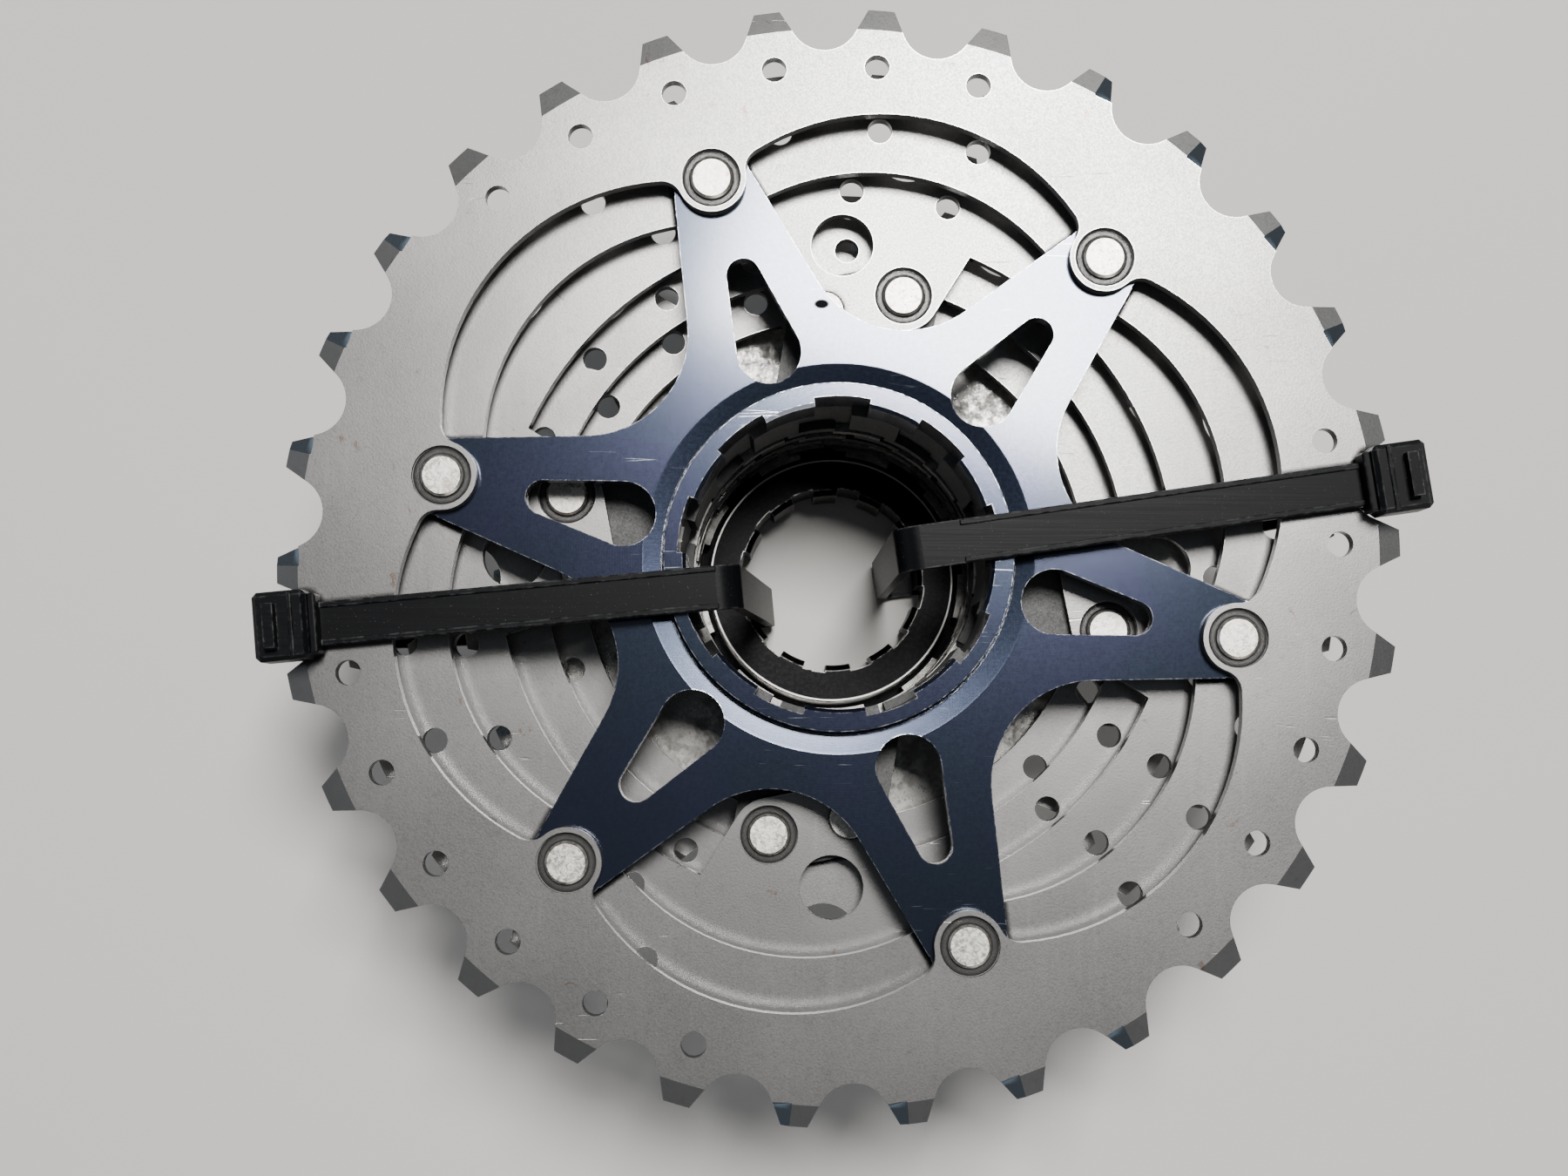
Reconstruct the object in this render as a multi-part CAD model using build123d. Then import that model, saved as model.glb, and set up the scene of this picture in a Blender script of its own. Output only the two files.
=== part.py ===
from build123d import *
import os
from math import atan, cos, degrees, pi, radians, sin, tan

# Eleven-speed road cassette for a nine-spline freehub, tied up with two cable ties.
# The hub axis is Z. Z = 0 is the back face of the spider's boss, which seats on the
# hub, and the small end points down. Sizes are in millimetres and degrees, and angles
# run anticlockwise from +X, seen from the large end.

# Chain and sprockets
CHAIN_PITCH = 12.7
ROLLER_RADIUS = 3.9
SEAT_RADIUS = 4.0
SEAT_HALF_ANGLE = 60.0
PLATE = 1.6
SPROCKET_PITCH = 3.74
LARGE_FROM = 21
TIP_ABOVE_LARGE = 0.95
TIP_ABOVE_SMALL = 1.6
TIP_BEVEL_LENGTH = 2.4
TIP_BEVEL_REAR = 0.45
TIP_BEVEL_FRONT = 0.3
HOLE_RADIUS = 1.4
HOLE_BELOW_ROOT = 1.8
TWIST_SHARE = 0.535
TWIST_FADE = 9.0
TWIST_SPAN = 4.4
RAMP_FROM = 13
RAMP_RADIUS = 4.6
RAMP_DEPTH = 0.45
RAMP_IN = 1.6

# Stack along the axis
BOSS_RISE = 0.4
AXIAL_PLAY = 0.05

# Nine-spline bore
BORE_NOTCH_RADIUS = 17.7
BORE_LUG_RADIUS = 16.75
LUGS = 9
LUG_WIDTH = 19.5
KEY_LUG_WIDTH = 22.5
KEY_LUG = 6
LUG_ANGLE = 28.5
BORE_MOUTH_CHAMFER = 0.4
SMALL_BORE_LUG_CLEAR = 0.9
SMALL_BORE_LUG_HEIGHT = 0.7

# Rear spider, which carries the 30 and 27 tooth sprockets
REAR_ARMS = 6
REAR_ARM_ANGLE = 48.4
REAR_RIVET_INSET = 5.45
REAR_TAB_RADIUS = 3.85
ARM_TIP_RADIUS = 4.4
ARM_SPREAD = 42.5
BOSS_WALL = 1.5
GROOVE_WIDTH = 0.35
GROOVE_DEPTH = 2.9
DISH_WIDTH = 1.4
DISH_DEPTH = 0.25
HUB_WALL = 2.6
ARM_FILLET = 11.4
ARM_WEB = 5.9
WINDOW_OUTER = (11.2, 1.9)
WINDOW_INNER = (4.0, 3.6)
SECTOR_ARC = 26.0
RIM_30T = 6.8
RIM_27T = 6.4
TAB_FILLET = 2.4

# Middle carrier, which carries the 24, 21 and 19 tooth sprockets
MID_ARMS = 4
MID_ARM_ANGLE = 75.9
MID_RIVET_OUT = 2.2
LONG_RIVET_INSET = 0.5
LONG_RIVET_TURN = 16.7
MID_TAB_RADIUS = 4.1
RIM_24T = 6.35
RIM_21T = 5.1
RIM_19T = 5.2
TAB_HOLE = (1.8, 13.0, 3.6)
TAB_SCALLOP = (4.1, -15.2, 3.85)

# Rivets
RIVET_SHANK = 1.7
RIVET_HEAD = 2.35
RIVET_HEAD_HEIGHT = 0.6
RIVET_SEAT_WIDTH = 0.95
RIVET_SEAT_DEPTH = 0.5
LONG_RIVET_HEAD = 2.2
LONG_RIVET_RISE = 0.25
COLLAR_RADIUS = 3.2

# Loose pieces
SPACER_WALL = 3.3
SMALL_COLLAR_WALL = 2.6
MID_COLLAR_WALL = 1.9
LAST_COLLAR_WALL = 1.3
SPACER_CHAMFER = 0.3

# Lockring
THREAD_RADIUS = 15.3
THREAD_LENGTH = 6.4
FLANGE_RADIUS = 17.7
FLANGE = 2.2
FLANGE_CHAMFER = 0.4
TOOL_NOTCH_RADIUS = 11.7
TOOL_TOOTH_RADIUS = 10.8
TOOL_TEETH = 12
TOOL_TOOTH_WIDTH = 16.0
TOOL_MOUTH_CHAMFER = 0.7
LOCKRING_TURN = 4.0

# Cable ties
STRAP_WIDTH = 4.8
STRAP = 1.2
STRAP_GAP = 0.05
STRAP_FOOT_CLEAR = 0.26
TIE_HEAD_LENGTH = 5.8
TIE_HEAD_WIDTH = 7.5
TIE_HEAD_HEIGHT = 4.6
STRAP_RISE_CLEAR = 2.95
STRAP_RISE_DEPTH = 2.26
TIE_HEAD_LIFT = 0.1
TAIL_STUB = 1.4
TAIL_OUT = 0.9
TIE_EDGE = 0.5
TIE_BENDS = (2.2, 1.6, 3.0, 8.0)
LEFT_TIE = {"turn": 185.3, "aside": 2.3, "top": 5.15, "foot": 2.7, "reach": 1.3}
RIGHT_TIE = {"turn": 8.1, "aside": -0.4, "top": 9.85, "foot": 4.4, "reach": 0.5}

# Teeth, largest first: angle of one tooth, and runs of drilled teeth (first, count)
SPROCKETS = {
    30: (1.4, [(6, 6), (16, 6), (26, 6)]),
    27: (4.3, [(5, 5), (14, 5), (23, 5)]),
    24: (12.6, [(4, 4), (12, 4), (20, 4)]),
    21: (2.2, [(5, 5), (13, 3), (18, 3)]),
    19: (11.8, [(5, 3), (10, 3), (15, 3)]),
    17: (11.0, []),
    15: (5.0, []),
    14: (16.0, []),
    13: (2.0, []),
    12: (21.0, []),
    11: (8.0, []),
}
# Rest turn of each loose piece's splines, against the spider's
LOOSE_TURN = {
    "carrier": 6.0,
    "spacer_19_17": -9.0,
    17: 12.0,
    "spacer_17_15": 3.0,
    15: -14.0,
    "spacer_15_14": 8.0,
    14: -4.0,
    13: 15.0,
    12: -10.0,
    11: 5.0,
}

ORDER = list(SPROCKETS)
ARM_PLATE = SPROCKET_PITCH - PLATE
RIVET_SEAT_RADIUS = RIVET_HEAD + RIVET_SEAT_WIDTH
# The twist cuts the same share of the plate at a tooth's flank, whatever the pitch
TWIST_ANGLE = degrees(atan(TWIST_SHARE * PLATE / (CHAIN_PITCH / 2 - SEAT_RADIUS)))
HUB_RADIUS = BORE_NOTCH_RADIUS + HUB_WALL
REAR_FACE = {teeth: -BOSS_RISE - i * SPROCKET_PITCH for i, teeth in enumerate(ORDER)}
FRONT_FACE = {teeth: REAR_FACE[teeth] - PLATE for teeth in ORDER}
HUB_JOINT = (FRONT_FACE[27] + REAR_FACE[24]) / 2
FLANGE_TOP = FRONT_FACE[11] - AXIAL_PLAY
FLANGE_BOTTOM = FLANGE_TOP - FLANGE
REAR_ARM_ANGLES = [REAR_ARM_ANGLE + k * 360 / REAR_ARMS for k in range(REAR_ARMS)]
MID_ARM_ANGLES = [MID_ARM_ANGLE + k * 360 / MID_ARMS for k in range(MID_ARMS)]

def pitch_radius(teeth):
    return CHAIN_PITCH / (2 * sin(pi / teeth))


def root_radius(teeth):
    return pitch_radius(teeth) - ROLLER_RADIUS


def tip_radius(teeth):
    return pitch_radius(teeth) + (TIP_ABOVE_LARGE if teeth >= LARGE_FROM else TIP_ABOVE_SMALL)


REACH_30T = root_radius(30) - RIM_30T
REACH_27T = root_radius(27) - RIM_27T
RING_24T = root_radius(24) - RIM_24T
RING_21T = root_radius(21) - RIM_21T
RING_19T = root_radius(19) - RIM_19T
REAR_RIVET_RADIUS = REACH_30T - REAR_RIVET_INSET
MID_RIVET_RADIUS = RING_19T + MID_RIVET_OUT
LONG_RIVET_RADIUS = RING_19T - LONG_RIVET_INSET
BOSS_RADIUS = BORE_NOTCH_RADIUS + BOSS_WALL
DISH_RADIUS = HUB_RADIUS + DISH_WIDTH
ARM_WEB_RADIUS = HUB_RADIUS + ARM_WEB
SPACER_RADIUS = BORE_NOTCH_RADIUS + SPACER_WALL
SMALL_BORE_LUG_RADIUS = THREAD_RADIUS + SMALL_BORE_LUG_CLEAR
SMALL_BORE_NOTCH_RADIUS = SMALL_BORE_LUG_RADIUS + SMALL_BORE_LUG_HEIGHT
STRAP_FOOT_REACH = tip_radius(11) + STRAP_FOOT_CLEAR
STRAP_RISE_REACH = tip_radius(27) + STRAP_RISE_CLEAR

os.makedirs("parts", exist_ok=True)


def save(shape, node):
    export_step(shape, f"parts/{node}.step")


def turned(angle, shape):
    return Rot(0, 0, angle) * shape


def at(radius, angle, shape):
    """Put a shape at a radius and an angle about the axis."""
    return Rot(0, 0, angle) * Pos(radius, 0) * shape


def slab(face, top, thickness):
    """A plate with its upper face at top."""
    return Pos(0, 0, top - thickness) * extrude(face, thickness)


def turned_ring(points):
    """A solid of revolution from points (radius, z)."""
    return revolve(Plane.XZ * make_face(Polyline(*points, close=True)), Axis.Z)


def hull(circles):
    """The outline wrapped round circles given as (radius, angle, size)."""
    edges = [at(r, a, Circle(size)).edges() for r, a, size in circles]
    return make_hull([edge for group in edges for edge in group])


def toothed_face(teeth):
    """A tip circle with a roller seat and opening flanks between each two teeth."""
    half = SEAT_RADIUS * sin(radians(SEAT_HALF_ANGLE))
    start = -SEAT_RADIUS * cos(radians(SEAT_HALF_ANGLE))
    end = 2 * SEAT_RADIUS
    wide = half + (end - start) / tan(radians(SEAT_HALF_ANGLE))
    flanks = Polygon((start, -half), (end, -wide), (end, wide), (start, half), align=None)
    seat = Pos(root_radius(teeth) + SEAT_RADIUS, 0) * (Circle(SEAT_RADIUS) + flanks)
    first = SPROCKETS[teeth][0]
    gaps = [turned(first + (k + 0.5) * 360 / teeth, seat) for k in range(teeth)]
    return Circle(tip_radius(teeth)) - gaps


def tooth_holes(teeth):
    first, runs = SPROCKETS[teeth]
    numbers = [start + k for start, count in runs for k in range(count)]
    radius = root_radius(teeth) - HOLE_BELOW_ROOT
    return [at(radius, first + n * 360 / teeth, Circle(HOLE_RADIUS)) for n in numbers]


def bevelled(solid, teeth):
    """Bevel the tooth tips on both faces, more on the rear."""
    tip = tip_radius(teeth)
    start = tip - TIP_BEVEL_LENGTH
    rear = REAR_FACE[teeth]
    front = FRONT_FACE[teeth]
    past = 1.0
    end = tip + past
    slope = (end - start) / TIP_BEVEL_LENGTH
    high = rear - TIP_BEVEL_REAR * slope
    low = front + TIP_BEVEL_FRONT * slope
    above = [(start, rear), (end, high), (end, rear + past), (start, rear + past)]
    below = [(start, front), (end, low), (end, front - past), (start, front - past)]
    return solid - [turned_ring(above), turned_ring(below)]


def plain_teeth(teeth):
    """The numbers of the teeth with no hole under them, where the chain changes over."""
    runs = SPROCKETS[teeth][1]
    drilled = {(start + k) % teeth for start, count in runs for k in range(count)}
    return [n for n in range(teeth) if n not in drilled and (runs or n % 4 < 2)]


def shift_cuts(teeth):
    """Slanted facets on the rear of the change-over teeth, and front ramps under them."""
    first = SPROCKETS[teeth][0]
    block = Pos(0, 0, 1.5) * Box(TWIST_SPAN, 3 * SEAT_RADIUS, 3)
    facet = Pos(tip_radius(teeth) - 0.4, 0, REAR_FACE[teeth] - 0.2) * Rot(TWIST_ANGLE, TWIST_FADE, 0) * block
    ramp = Pos(root_radius(teeth) + RAMP_IN, 0) * Circle(RAMP_RADIUS)
    cuts = []
    for n in plain_teeth(teeth):
        angle = first + n * 360 / teeth
        cuts.append(turned(angle, facet))
        if n % 2 and teeth >= RAMP_FROM:
            cuts.append(slab(turned(angle, ramp), FRONT_FACE[teeth] + RAMP_DEPTH, RAMP_DEPTH))
    return cuts


def sprocket(teeth, opening):
    """One sprocket plate with its middle, its small holes and its tooth bevels cut."""
    face = toothed_face(teeth) - opening
    holes = tooth_holes(teeth)
    if holes:
        face = face - holes
    return bevelled(slab(face, REAR_FACE[teeth], PLATE), teeth) - shift_cuts(teeth)


def spline_bore(turn, notch=BORE_NOTCH_RADIUS, lug=BORE_LUG_RADIUS):
    """The open outline of a nine-spline bore, one lug wider than the others."""
    bore = Circle(notch)
    for k in range(LUGS):
        width = KEY_LUG_WIDTH if k == KEY_LUG else LUG_WIDTH
        half = notch * 1.2 * tan(radians(width / 2))
        reach = notch * 1.2
        wedge = Polygon((0, 0), (reach, -half), (reach, half), align=None)
        bore -= turned(LUG_ANGLE + turn + k * 360 / LUGS, wedge - Circle(lug))
    return bore


def mouth_cone(radius, size, top):
    """A 45 degree cone that bevels the upper mouth of a toothed bore."""
    past = 1.0
    low = top - size - past
    return turned_ring([(0, top + past), (radius + size + past, top + past), (radius - past, low), (0, low)])


def rivet(top, bottom, head=RIVET_HEAD, rise=RIVET_HEAD_HEIGHT):
    """A rivet with a low head at each end, both outside the faces it holds."""
    shank = Pos(0, 0, bottom) * extrude(Circle(RIVET_SHANK), top - bottom)
    cap = chamfer(extrude(Circle(head), rise).edges().group_by(Axis.Z)[-1], rise * 0.45)
    return shank + Pos(0, 0, top) * cap + Pos(0, 0, bottom) * Rot(180, 0, 0) * cap


def six_arm_opening(reach):
    """The open middle of a sprocket on six arms: an arc per sector, a tab at each arm."""
    centre = reach - SECTOR_ARC
    middles = [angle + 180 / REAR_ARMS for angle in REAR_ARM_ANGLES]
    opening = Circle(centre)
    for middle in middles:
        opening += at(centre, middle, Circle(SECTOR_ARC))
    opening -= [at(REAR_RIVET_RADIUS, a, Circle(REAR_TAB_RADIUS)) for a in REAR_ARM_ANGLES]
    return fillet(opening.vertices(), TAB_FILLET)


def rear_sprocket(teeth, reach, seat_up):
    """A sprocket riveted to the rear spider, with a shallow seat round each rivet head."""
    plate = sprocket(teeth, six_arm_opening(reach))
    holes = [at(REAR_RIVET_RADIUS, a, Circle(RIVET_SHANK)) for a in REAR_ARM_ANGLES]
    seats = [at(REAR_RIVET_RADIUS, a, Circle(RIVET_SEAT_RADIUS)) for a in REAR_ARM_ANGLES]
    plate -= [slab(hole, REAR_FACE[teeth], PLATE) for hole in holes]
    top = REAR_FACE[teeth] if seat_up else FRONT_FACE[teeth] + RIVET_SEAT_DEPTH
    return plate - [slab(seat, top, RIVET_SEAT_DEPTH) for seat in seats]


def rear_spider():
    """Six pierced arms on a splined hub, with a raised boss and a dished rear face."""
    top = FRONT_FACE[30]
    disc = Circle(REAR_RIVET_RADIUS)
    centre = ARM_WEB_RADIUS + ARM_FILLET
    tangent = (-ARM_FILLET * sin(radians(ARM_SPREAD)), ARM_FILLET * cos(radians(ARM_SPREAD)))
    run = REAR_RIVET_RADIUS
    far = (tangent[0] + run * cos(radians(ARM_SPREAD)), tangent[1] + run * sin(radians(ARM_SPREAD)))
    outline = [tangent, far, (far[0], -far[1]), (tangent[0], -tangent[1])]
    notch = Circle(ARM_FILLET) + Polygon(*outline, align=None)
    middles = [angle + 180 / REAR_ARMS for angle in REAR_ARM_ANGLES]
    arms = disc - [at(centre, middle, notch) for middle in middles]
    arms += [at(REAR_RIVET_RADIUS, a, Circle(ARM_TIP_RADIUS)) for a in REAR_ARM_ANGLES]
    outer = (REAR_RIVET_RADIUS - WINDOW_OUTER[0], 0, WINDOW_OUTER[1])
    inner = (HUB_RADIUS + WINDOW_INNER[0], 0, WINDOW_INNER[1])
    window = hull([outer, inner])
    arms -= [turned(a, window) for a in REAR_ARM_ANGLES]
    arms -= [at(REAR_RIVET_RADIUS, a, Circle(RIVET_SHANK)) for a in REAR_ARM_ANGLES]
    solid = slab(arms, top, ARM_PLATE)
    groove = BOSS_RADIUS + GROOVE_WIDTH
    solid += turned_ring([(0, 0), (BOSS_RADIUS, 0), (BOSS_RADIUS, HUB_JOINT), (0, HUB_JOINT)])
    solid += turned_ring([(0, top), (HUB_RADIUS, top), (HUB_RADIUS, HUB_JOINT), (0, HUB_JOINT)])
    dish = [(BOSS_RADIUS, top + PLATE), (DISH_RADIUS, top + PLATE), (DISH_RADIUS, top)]
    dish += [(groove, top - DISH_DEPTH), (groove, -GROOVE_DEPTH), (BOSS_RADIUS, -GROOVE_DEPTH)]
    solid -= turned_ring(dish)
    solid -= slab(spline_bore(0), 1, 1 - HUB_JOINT + 1)
    return solid - mouth_cone(BORE_LUG_RADIUS, BORE_MOUTH_CHAMFER, 0)


def mid_spots(angle):
    """The ringed rivet and the long rivet of one arm of the middle carrier."""
    return (MID_RIVET_RADIUS, angle), (LONG_RIVET_RADIUS, angle + LONG_RIVET_TURN)


def mid_tab(angle, ring, size, spread):
    """One tab of a middle sprocket, from its ring in to both rivets."""
    ringed, long_one = mid_spots(angle)
    foot = ring + size / 2
    root = [(foot, angle - spread, size / 2), (foot, angle + LONG_RIVET_TURN + spread, size / 2)]
    return hull([(*ringed, size), (*long_one, size)] + root)


def rivet_holes(angle, both=True):
    ringed, long_one = mid_spots(angle)
    holes = [at(*long_one, Circle(RIVET_SHANK))]
    return holes + [at(*ringed, Circle(RIVET_SHANK))] if both else holes


def sprocket_24t():
    plate_face = Circle(RING_24T)
    for angle in MID_ARM_ANGLES:
        plate_face -= mid_tab(angle, RING_24T, MID_TAB_RADIUS, 7)
        plate_face += at(RING_24T - TAB_SCALLOP[0], angle + TAB_SCALLOP[1], Circle(TAB_SCALLOP[2]))
        plate_face += at(RING_24T - TAB_HOLE[0], angle + TAB_HOLE[1], Circle(TAB_HOLE[2]))
        plate_face += rivet_holes(angle)
    plate = sprocket(24, plate_face)
    seats = [at(MID_RIVET_RADIUS, a, Circle(RIVET_SEAT_RADIUS)) for a in MID_ARM_ANGLES]
    return plate - [slab(seat, REAR_FACE[24], RIVET_SEAT_DEPTH) for seat in seats]


def sprocket_21t():
    opening = Circle(RING_21T)
    for angle in MID_ARM_ANGLES:
        opening -= mid_tab(angle, RING_21T, MID_TAB_RADIUS, 5)
        opening += rivet_holes(angle)
    return sprocket(21, opening)


def sprocket_19t():
    opening = Circle(RING_19T)
    for angle in MID_ARM_ANGLES:
        long_one = mid_spots(angle)[1]
        foot = (RING_19T + 1, long_one[1] - 9, 1), (RING_19T + 1, long_one[1] + 9, 1)
        opening -= hull([(*long_one, COLLAR_RADIUS + 0.4), *foot])
        opening += rivet_holes(angle, both=False)
    return sprocket(19, opening)


def mid_carrier():
    """Four broad arms on a long splined hub."""
    arms = Circle(HUB_RADIUS)
    for angle in MID_ARM_ANGLES:
        ringed, long_one = mid_spots(angle)
        root = (HUB_RADIUS - MID_TAB_RADIUS, angle - 4, MID_TAB_RADIUS)
        other = (HUB_RADIUS - MID_TAB_RADIUS, angle + LONG_RIVET_TURN + 10, MID_TAB_RADIUS)
        arms += hull([(*ringed, MID_TAB_RADIUS), (*long_one, MID_TAB_RADIUS), root, other])
        arms -= rivet_holes(angle)
    solid = slab(arms, FRONT_FACE[24], ARM_PLATE)
    top = HUB_JOINT - AXIAL_PLAY
    bottom = FRONT_FACE[19]
    solid += slab(Circle(HUB_RADIUS), top, top - bottom)
    return solid - slab(spline_bore(LOOSE_TURN["carrier"]), top + 1, top - bottom + 2)


def spacer(above, below, name):
    top = FRONT_FACE[above] - AXIAL_PLAY
    face = Circle(SPACER_RADIUS) - spline_bore(LOOSE_TURN[name])
    ring = slab(face, top, top - REAR_FACE[below])
    outer = ring.edges().filter_by(GeomType.CIRCLE).sort_by(lambda edge: -edge.radius)[:2]
    return chamfer(outer, SPACER_CHAMFER)


def loose_sprocket(teeth, collar_above=None, wall=SMALL_COLLAR_WALL):
    """A sprocket that slides onto the hub, with or without its own spacing collar."""
    small = teeth == ORDER[-1]
    notch = SMALL_BORE_NOTCH_RADIUS if small else BORE_NOTCH_RADIUS
    lug = SMALL_BORE_LUG_RADIUS if small else BORE_LUG_RADIUS
    bore = spline_bore(LOOSE_TURN[teeth], notch, lug)
    rear = REAR_FACE[teeth] - (0 if collar_above else AXIAL_PLAY)
    plate = bevelled(slab(toothed_face(teeth), rear, rear - FRONT_FACE[teeth]), teeth)
    plate -= shift_cuts(teeth)
    if collar_above:
        top = FRONT_FACE[collar_above] - AXIAL_PLAY
        collar = slab(Circle(notch + wall), top, top - FRONT_FACE[teeth])
        plate += chamfer(collar.edges().group_by(Axis.Z)[-1], SPACER_CHAMFER)
    return plate - slab(bore, 0, -FRONT_FACE[teeth] + 1)


def lockring():
    """A flanged ring with an outer thread and a twelve-tooth socket for its tool."""
    top = FLANGE_TOP + THREAD_LENGTH
    edge = FLANGE_CHAMFER
    rim = FLANGE_RADIUS - edge
    outline = [(0, FLANGE_BOTTOM), (rim, FLANGE_BOTTOM), (FLANGE_RADIUS, FLANGE_BOTTOM + edge)]
    outline += [(FLANGE_RADIUS, FLANGE_TOP - edge), (rim, FLANGE_TOP)]
    outline += [(THREAD_RADIUS, FLANGE_TOP), (THREAD_RADIUS, top), (0, top)]
    socket = Circle(TOOL_NOTCH_RADIUS)
    reach = TOOL_NOTCH_RADIUS * 1.2
    half = reach * tan(radians(TOOL_TOOTH_WIDTH / 2))
    tooth = Polygon((0, 0), (reach, -half), (reach, half), align=None) - Circle(TOOL_TOOTH_RADIUS)
    socket -= [turned(LOCKRING_TURN + k * 360 / TOOL_TEETH, tooth) for k in range(TOOL_TEETH)]
    ring = turned_ring(outline) - slab(socket, top + 1, top - FLANGE_BOTTOM + 2)
    return ring - mouth_cone(TOOL_TOOTH_RADIUS, TOOL_MOUTH_CHAMFER, top)


def tie(turn, aside, top, foot, reach):
    """A strap round the whole stack, its head and its cut tail, as one closed loop."""
    top = BORE_LUG_RADIUS - top
    foot = TOOL_TOOTH_RADIUS - foot
    reach = tip_radius(30) - reach
    over = STRAP_GAP + STRAP / 2
    under = FLANGE_BOTTOM - STRAP_GAP - STRAP / 2
    corners = [(reach + TAIL_OUT, over), (top, over), (foot, under), (STRAP_FOOT_REACH, under)]
    corners.append((STRAP_RISE_REACH, FRONT_FACE[27] - STRAP_RISE_DEPTH))
    loop = make_face(Polyline(*corners, close=True))
    for corner, bend in zip(corners[1:], TIE_BENDS):
        loop = fillet(loop.vertices().sort_by_distance((*corner, 0))[0], bend)
    strap = offset(loop, STRAP / 2) - offset(loop, -STRAP / 2)
    strap = extrude(Plane.XZ * strap, STRAP_WIDTH / 2, both=True)
    head_z = FRONT_FACE[30] + PLATE + TIE_HEAD_LIFT
    head = Pos(reach, 0, head_z) * Box(
        TIE_HEAD_LENGTH, TIE_HEAD_WIDTH, TIE_HEAD_HEIGHT, align=(Align.CENTER, Align.CENTER, Align.MIN)
    )
    head = chamfer(head.edges().filter_by(Axis.Z) + head.edges().group_by(Axis.Z)[-1], TIE_EDGE)
    tail_top = head_z + TIE_HEAD_HEIGHT
    tail = Pos(reach + TAIL_OUT, 0, tail_top - 1) * Box(
        STRAP, STRAP_WIDTH, TAIL_STUB + 1, align=(Align.CENTER, Align.CENTER, Align.MIN)
    )
    return turned(turn, Pos(0, aside, 0) * (strap + head + tail))


def rear_rivets():
    one = rivet(REAR_FACE[30] - RIVET_SEAT_DEPTH, FRONT_FACE[27] + RIVET_SEAT_DEPTH)
    return Compound([at(REAR_RIVET_RADIUS, a, one) for a in REAR_ARM_ANGLES])


def mid_rivets():
    one = rivet(REAR_FACE[24] - RIVET_SEAT_DEPTH, FRONT_FACE[21])
    return Compound([at(*mid_spots(a)[0], one) for a in MID_ARM_ANGLES])


def long_rivets():
    one = rivet(REAR_FACE[24], FRONT_FACE[19], LONG_RIVET_HEAD, LONG_RIVET_RISE)
    return Compound([at(*mid_spots(a)[1], one) for a in MID_ARM_ANGLES])


def rivet_collars():
    one = slab(Circle(COLLAR_RADIUS) - Circle(RIVET_SHANK), FRONT_FACE[21], ARM_PLATE)
    return Compound([at(*mid_spots(a)[1], one) for a in MID_ARM_ANGLES])


save(rear_spider(), "rear_spider")
save(rear_sprocket(30, REACH_30T, True), "sprocket_30t")
save(rear_sprocket(27, REACH_27T, False), "sprocket_27t")
save(rear_rivets(), "rear_rivets")
save(mid_carrier(), "mid_carrier")
save(sprocket_24t(), "sprocket_24t")
save(sprocket_21t(), "sprocket_21t")
save(sprocket_19t(), "sprocket_19t")
save(mid_rivets(), "mid_rivets")
save(long_rivets(), "long_rivets")
save(rivet_collars(), "rivet_collars")
save(spacer(19, 17, "spacer_19_17"), "spacer_19_17")
save(loose_sprocket(17), "sprocket_17t")
save(spacer(17, 15, "spacer_17_15"), "spacer_17_15")
save(loose_sprocket(15), "sprocket_15t")
save(spacer(15, 14, "spacer_15_14"), "spacer_15_14")
save(loose_sprocket(14), "sprocket_14t")
save(loose_sprocket(13, collar_above=14), "sprocket_13t")
save(loose_sprocket(12, collar_above=13, wall=MID_COLLAR_WALL), "sprocket_12t")
save(loose_sprocket(11, collar_above=12, wall=LAST_COLLAR_WALL), "sprocket_11t")
save(lockring(), "lockring")
save(tie(**LEFT_TIE), "tie_left")
save(tie(**RIGHT_TIE), "tie_right")
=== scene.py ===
"""A road cassette, large sprocket up, tied with two cable ties, on a pale studio floor.

The CAD frame holds every piece's shape. This script gives each piece its finish, softens
its edges, builds the two moulded cable ties and sets up the studio.
"""
import math

import bmesh
import bpy
from mathutils import Matrix, Vector


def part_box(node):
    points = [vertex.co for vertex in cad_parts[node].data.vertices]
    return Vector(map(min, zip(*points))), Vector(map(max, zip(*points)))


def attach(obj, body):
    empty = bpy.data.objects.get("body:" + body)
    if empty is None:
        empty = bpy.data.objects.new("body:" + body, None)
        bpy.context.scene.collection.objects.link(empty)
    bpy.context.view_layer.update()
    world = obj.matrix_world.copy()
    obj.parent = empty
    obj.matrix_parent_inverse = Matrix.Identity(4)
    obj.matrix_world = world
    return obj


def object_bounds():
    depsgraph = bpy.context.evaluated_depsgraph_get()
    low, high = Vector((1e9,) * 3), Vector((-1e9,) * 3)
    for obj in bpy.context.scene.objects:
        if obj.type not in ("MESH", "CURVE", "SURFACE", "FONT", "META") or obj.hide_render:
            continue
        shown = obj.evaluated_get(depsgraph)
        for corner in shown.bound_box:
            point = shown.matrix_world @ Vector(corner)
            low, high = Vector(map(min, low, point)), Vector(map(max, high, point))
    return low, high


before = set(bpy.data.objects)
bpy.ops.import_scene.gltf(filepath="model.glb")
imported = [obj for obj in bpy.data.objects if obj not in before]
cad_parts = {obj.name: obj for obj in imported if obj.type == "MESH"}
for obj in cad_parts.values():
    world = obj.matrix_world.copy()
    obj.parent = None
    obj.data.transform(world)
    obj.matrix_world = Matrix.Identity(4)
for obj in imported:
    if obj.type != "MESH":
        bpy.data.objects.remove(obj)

CAD_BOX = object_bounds()
MM = 0.001

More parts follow.
